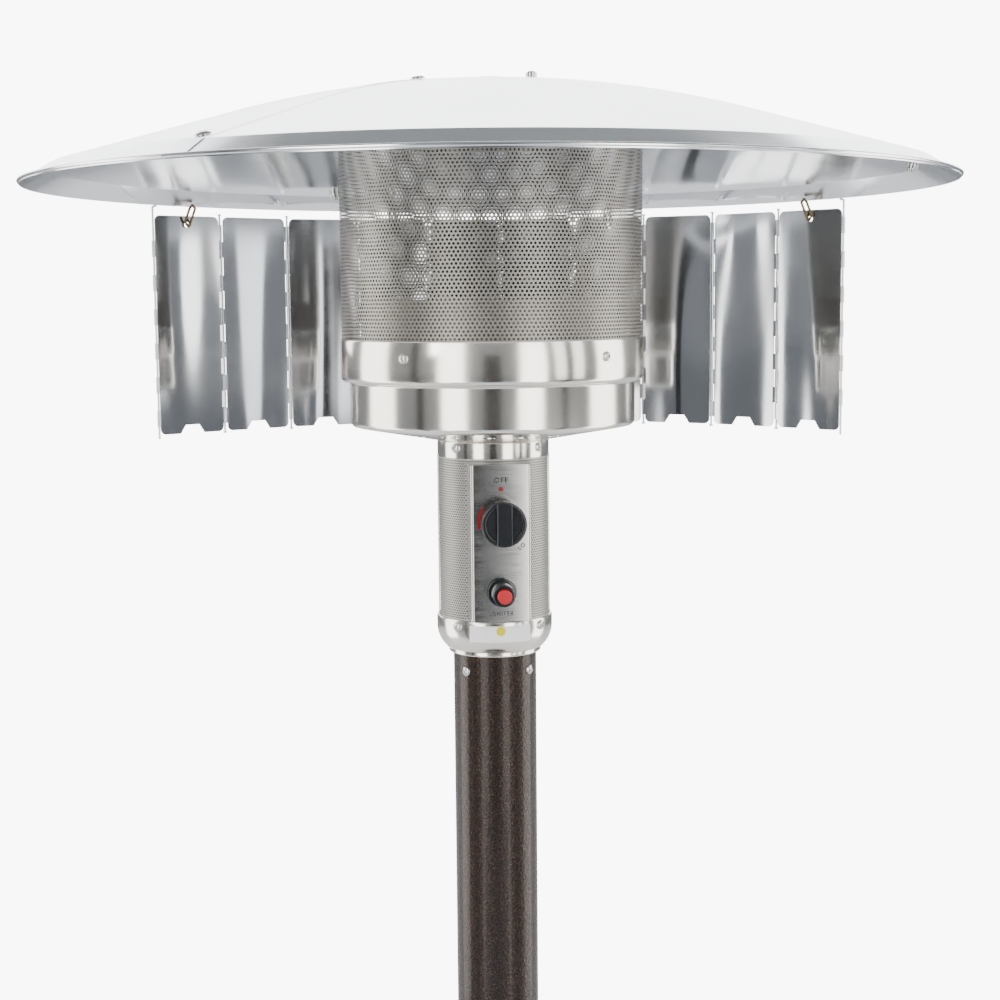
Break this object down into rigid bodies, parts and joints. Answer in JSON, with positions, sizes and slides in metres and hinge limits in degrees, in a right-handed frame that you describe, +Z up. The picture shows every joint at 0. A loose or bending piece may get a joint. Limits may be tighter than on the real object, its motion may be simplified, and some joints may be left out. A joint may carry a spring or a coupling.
{
  "type": "patio heater",
  "caption": "Tall gas patio heater with a domed reflector, perforated emitter, control head, post and base, and a folding plate heat shield hung behind.",
  "frame": {"origin": "on the floor, under the middle of the post", "axes": "+Z up along the post; -Y is the front, where the control knob faces; +X is to the right of a person facing the controls"},
  "size_m": [0.8151, 0.8152, 2.2117],
  "materials": {
    "polished_aluminium": "polished sheet",
    "zinc_steel": "zinc plated",
    "stainless_screen": "perforated stainless sheet",
    "heat_steel": "heat-stained steel",
    "cast_burner": "cast iron",
    "chrome_shell": "mirror polished stainless",
    "perforated_steel": "perforated stainless sheet",
    "brushed_panel": "satin brushed",
    "valve_brass": "machined brass",
    "black_plastic": "satin moulded",
    "red_plastic": "gloss moulded",
    "hammered_bronze": "hammered bronze paint",
    "wheel_rubber": "moulded wheel",
    "cylinder_paint": "gloss paint",
    "regulator_metal": "die cast",
    "hose_rubber": "matt rubber",
    "shield_sheet": "bright rolled sheet",
    "pin_wire": "zinc plated wire"
  },
  "bodies": {
    "heater": {"reflector_sector_1": "polished_aluminium", "reflector_sector_2": "polished_aluminium", "reflector_sector_3": "polished_aluminium", "reflector_hub": "polished_aluminium", "reflector_bolts": "zinc_steel", "reflector_studs": "zinc_steel", "bowl_screws": "zinc_steel", "head_screws": "zinc_steel", "wheel_axle": "zinc_steel", "emitter_screen": "stainless_screen", "emitter_cap": "stainless_screen", "burner_cup": "heat_steel", "pilot_assembly": "heat_steel", "burner_head": "cast_burner", "burner_bowl": "chrome_shell", "head_neck": "chrome_shell", "control_cup": "chrome_shell", "control_sleeve": "perforated_steel", "control_panel": "brushed_panel", "gas_valve": "valve_brass", "cylinder_valve": "valve_brass", "igniter_collar": "black_plastic", "igniter_body": "black_plastic", "post_tube": "hammered_bronze", "base_pan": "hammered_bronze", "support_legs": "hammered_bronze", "wheel_bracket": "hammered_bronze", "gas_cylinder": "cylinder_paint", "regulator": "regulator_metal", "gas_hose": "hose_rubber", "shield_hooks": "pin_wire"},
    "knob_plunger": {"valve_stem": "valve_brass"},
    "knob": {"control_knob": "black_plastic"},
    "housing": {"housing_collar": "black_plastic", "tank_housing": "hammered_bronze"},
    "handwheel": {"cylinder_handwheel": "black_plastic"},
    "igniter_push": {"igniter_button": "red_plastic"},
    "wheel_left_body": {"wheel_left": "wheel_rubber"},
    "wheel_right_body": {"wheel_right": "wheel_rubber"},
    "shield_1": {"shield_plate_1": "shield_sheet", "shield_pin_1": "pin_wire", "shield_end_pin_left": "pin_wire"},
    "shield_2": {"shield_plate_2": "shield_sheet", "shield_pin_2": "pin_wire"},
    "shield_3": {"shield_plate_3": "shield_sheet", "shield_pin_3": "pin_wire"},
    "shield_4": {"shield_plate_4": "shield_sheet", "shield_pin_4": "pin_wire"},
    "shield_5": {"shield_plate_5": "shield_sheet", "shield_pin_5": "pin_wire"},
    "shield_6": {"shield_plate_6": "shield_sheet", "shield_pin_6": "pin_wire"},
    "shield_7": {"shield_plate_7": "shield_sheet", "shield_pin_7": "pin_wire"},
    "shield_8": {"shield_plate_8": "shield_sheet", "shield_pin_8": "pin_wire"},
    "shield_9": {"shield_plate_9": "shield_sheet", "shield_pin_9": "pin_wire"},
    "shield_10": {"shield_plate_10": "shield_sheet", "shield_end_pin_right": "pin_wire"}
  },
  "joints": [
    {"name": "shield_remove", "type": "slide", "parent": "heater", "child": "shield_1", "axis": [0.1305, 0.9914, 0], "range_m": [0, 0.25]},
    {"name": "shield_fold_1", "type": "hinge", "parent": "shield_1", "child": "shield_2", "pos_m": [-0.25676, 0.31418, 1.9965], "axis": [0, 0, 1], "range_deg": [0, 182.5]},
    {"name": "shield_fold_2", "type": "hinge", "parent": "shield_2", "child": "shield_3", "pos_m": [-0.18648, 0.35642, 1.9965], "axis": [0, 0, 1], "range_deg": [-167.34, 0]},
    {"name": "shield_fold_3", "type": "hinge", "parent": "shield_3", "child": "shield_4", "pos_m": [-0.11018, 0.38647, 1.9965], "axis": [0, 0, 1], "range_deg": [0, 187.7]},
    {"name": "shield_fold_4", "type": "hinge", "parent": "shield_4", "child": "shield_5", "pos_m": [-0.02948, 0.40099, 1.9965], "axis": [0, 0, 1], "range_deg": [-165.09, 0]},
    {"name": "shield_fold_5", "type": "hinge", "parent": "shield_5", "child": "shield_6", "pos_m": [0.05249, 0.3987, 1.9965], "axis": [0, 0, 1], "range_deg": [0, 188.19]},
    {"name": "shield_fold_6", "type": "hinge", "parent": "shield_6", "child": "shield_7", "pos_m": [0.13226, 0.3797, 1.9965], "axis": [0, 0, 1], "range_deg": [-165.09, 0]},
    {"name": "shield_fold_7", "type": "hinge", "parent": "shield_7", "child": "shield_8", "pos_m": [0.20645, 0.34479, 1.9965], "axis": [0, 0, 1], "range_deg": [0, 187.7]},
    {"name": "shield_fold_8", "type": "hinge", "parent": "shield_8", "child": "shield_9", "pos_m": [0.27237, 0.29601, 1.9965], "axis": [0, 0, 1], "range_deg": [-167.34, 0]},
    {"name": "shield_fold_9", "type": "hinge", "parent": "shield_9", "child": "shield_10", "pos_m": [0.32933, 0.23702, 1.9965], "axis": [0, 0, 1], "range_deg": [0, 183]},
    {"name": "knob_press", "type": "slide", "parent": "heater", "child": "knob_plunger", "axis": [0, 1, 0], "range_m": [0, 0.004], "stiffness_N_per_m": 400},
    {"name": "knob_turn", "type": "hinge", "parent": "knob_plunger", "child": "knob", "pos_m": [0, -0.075, 1.8275], "axis": [0, 1, 0], "range_deg": [-210, 0]},
    {"name": "igniter_press", "type": "slide", "parent": "heater", "child": "igniter_push", "axis": [0, 1, 0], "range_m": [0, 0.005], "stiffness_N_per_m": 400},
    {"name": "housing_lift", "type": "slide", "parent": "heater", "child": "housing", "axis": [0, 0, 1], "range_m": [0, 0.45]},
    {"name": "wheel_left_spin", "type": "hinge", "parent": "heater", "child": "wheel_left_body", "pos_m": [-0.062, 0.27, 0.038], "axis": [1, 0, 0], "continuous": true},
    {"name": "wheel_right_spin", "type": "hinge", "parent": "heater", "child": "wheel_right_body", "pos_m": [0.062, 0.27, 0.038], "axis": [1, 0, 0], "continuous": true},
    {"name": "handwheel_turn", "type": "hinge", "parent": "heater", "child": "handwheel", "pos_m": [0, 0, 0.558], "axis": [0, 0, 1], "range_deg": [0, 540]}
  ],
  "couplings": [
    {"joint": "shield_fold_2", "follows": "shield_fold_1", "ratio": -0.91421},
    {"joint": "shield_fold_3", "follows": "shield_fold_1", "ratio": 1.0257},
    {"joint": "shield_fold_4", "follows": "shield_fold_1", "ratio": -0.90188},
    {"joint": "shield_fold_5", "follows": "shield_fold_1", "ratio": 1.0284},
    {"joint": "shield_fold_6", "follows": "shield_fold_1", "ratio": -0.90188},
    {"joint": "shield_fold_7", "follows": "shield_fold_1", "ratio": 1.0257},
    {"joint": "shield_fold_8", "follows": "shield_fold_1", "ratio": -0.91421},
    {"joint": "shield_fold_9", "follows": "shield_fold_1", "ratio": 1}
  ]
}
